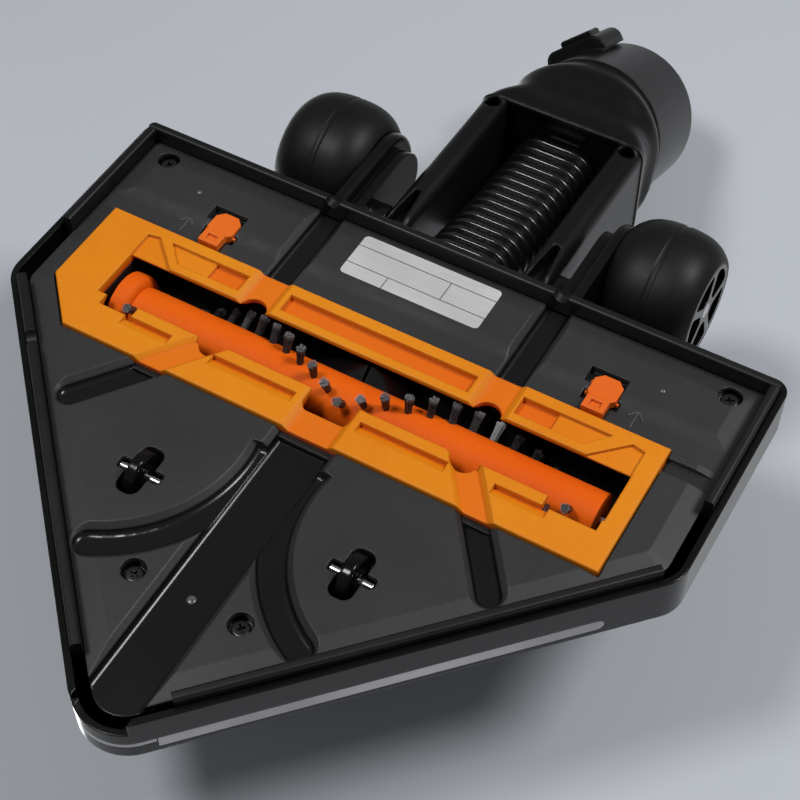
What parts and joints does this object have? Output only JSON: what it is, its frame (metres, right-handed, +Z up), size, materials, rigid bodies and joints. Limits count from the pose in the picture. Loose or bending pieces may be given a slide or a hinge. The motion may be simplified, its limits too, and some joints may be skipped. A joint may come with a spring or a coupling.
{
  "type": "vacuum floor brush head",
  "caption": "Delta-shaped powered vacuum floor head with a driven brush roller, removable brush cover, rubber lips, wheels, tilting neck with bellows hose and swivel tube collar",
  "frame": {"origin": "on the floor under the middle of the whole part, as it stands on its wheels with the neck down", "axes": "+X to the left of someone standing behind it, +Y from the tip to the neck, +Z up from the floor"},
  "size_m": [0.27, 0.4013, 0.0976],
  "materials": {
    "shell_black": "glossy black moulding",
    "sole_grey": "fine matte dark grey moulding",
    "duct_grey": "plain dark grey moulding",
    "lip_rubber": "soft black rubber",
    "cover_orange": "satin orange moulding",
    "core_orange": "satin orange moulding",
    "bristle_black": "black nylon bristle",
    "blade_rubber": "glossy black rubber",
    "steel": "bright steel",
    "tyre_rubber": "matte black rubber",
    "hub_black": "glossy black moulding",
    "neck_black": "satin black moulding",
    "hose_black": "soft satin black bellows",
    "lens_pale": "milky pale lens",
    "trim_silver": "silver paint",
    "board_green": "green circuit board",
    "motor_grey": "plain grey can",
    "pulley_pale": "plain pale moulding",
    "belt_rubber": "ribbed black rubber",
    "bush_pale": "plain pale bush",
    "contact_brass": "plain brass",
    "screw_dark": "black zinc"
  },
  "bodies": {
    "head": {"bearing_left": "bush_pale", "bearing_right": "bush_pale", "brush_tunnel": "duct_grey", "drive_belt": "belt_rubber", "drive_motor": "motor_grey", "front_axle_left": "steel", "front_axle_right": "steel", "front_lip_left": "lip_rubber", "front_lip_right": "lip_rubber", "hose_cuff": "duct_grey", "led_board_left": "board_green", "led_board_right": "board_green", "light_lens_left": "lens_pale", "light_lens_right": "lens_pale", "motor_bracket": "duct_grey", "pivot_pin_left": "steel", "pivot_pin_right": "steel", "rear_axle_left": "steel", "rear_axle_right": "steel", "rear_lip": "lip_rubber", "side_lip_left": "lip_rubber", "side_lip_right": "lip_rubber", "sole_plate": "sole_grey", "sole_screws": "screw_dark", "tip_trim": "trim_silver", "top_shell": "shell_black", "wheel_arm_left": "shell_black", "wheel_arm_right": "shell_black"},
    "roller": {"roller_core": "core_orange", "roller_tufts": "bristle_black", "roller_blades": "blade_rubber", "roller_axle": "steel", "roller_pulley": "pulley_pale"},
    "motor_rotor": {"motor_shaft": "steel", "motor_pulley": "pulley_pale"},
    "brush_cover": {"brush_cover": "cover_orange"},
    "latch_left": {"cover_latch_left": "cover_orange"},
    "latch_right": {"cover_latch_right": "cover_orange"},
    "front_wheel_left": {"front_wheel_left": "hub_black"},
    "front_wheel_right": {"front_wheel_right": "hub_black"},
    "rear_wheel_left": {"rear_tyre_left": "tyre_rubber", "rear_hub_left": "hub_black"},
    "rear_wheel_right": {"rear_tyre_right": "tyre_rubber", "rear_hub_right": "hub_black"},
    "neck": {"neck_yoke": "neck_black", "flex_hose": "hose_black"},
    "collar": {"swivel_collar": "neck_black", "swivel_ring": "duct_grey", "contact_block": "duct_grey", "contact_pins": "contact_brass"},
    "release_button": {"release_button": "shell_black"}
  },
  "joints": [
    {"name": "brush_spin", "type": "hinge", "parent": "head", "child": "roller", "pos_m": [0, -0.04801, 0.0215], "axis": [1, 0, 0], "continuous": true},
    {"name": "motor_spin", "type": "hinge", "parent": "head", "child": "motor_rotor", "pos_m": [0, -0.00151, 0.0275], "axis": [1, 0, 0], "continuous": true},
    {"name": "cover_lift", "type": "slide", "parent": "head", "child": "brush_cover", "axis": [0, 0, -1], "range_m": [0, 0.03]},
    {"name": "neck_tilt", "type": "hinge", "parent": "head", "child": "neck", "pos_m": [0, 0.03949, 0.028], "axis": [1, 0, 0], "range_deg": [0, 65], "deforming": ["flex_hose"]},
    {"name": "collar_swivel", "type": "hinge", "parent": "neck", "child": "collar", "pos_m": [0, 0.14349, 0.048], "axis": [0, 0.8988, 0.4384], "range_deg": [-45, 45]},
    {"name": "button_press", "type": "slide", "parent": "collar", "child": "release_button", "axis": [-0.6428, -0.3358, 0.6885], "range_m": [0, 0.0018], "stiffness_N_per_m": 400, "springref_m": -0.0005},
    {"name": "latch_slide_left", "type": "slide", "parent": "head", "child": "latch_left", "axis": [0, 1, 0], "range_m": [0, 0.002]},
    {"name": "front_wheel_spin_left", "type": "hinge", "parent": "head", "child": "front_wheel_left", "pos_m": [0.0415, -0.11611, 0.0085], "axis": [1, 0, 0], "continuous": true},
    {"name": "rear_wheel_spin_left", "type": "hinge", "parent": "head", "child": "rear_wheel_left", "pos_m": [0.0715, 0.06129, 0.027], "axis": [1, 0, 0], "continuous": true},
    {"name": "latch_slide_right", "type": "slide", "parent": "head", "child": "latch_right", "axis": [0, 1, 0], "range_m": [0, 0.002]},
    {"name": "front_wheel_spin_right", "type": "hinge", "parent": "head", "child": "front_wheel_right", "pos_m": [-0.0415, -0.11611, 0.0085], "axis": [1, 0, 0], "continuous": true},
    {"name": "rear_wheel_spin_right", "type": "hinge", "parent": "head", "child": "rear_wheel_right", "pos_m": [-0.0715, 0.06129, 0.027], "axis": [1, 0, 0], "continuous": true}
  ],
  "couplings": [
    {"joint": "motor_spin", "follows": "brush_spin", "ratio": 1.8}
  ]
}
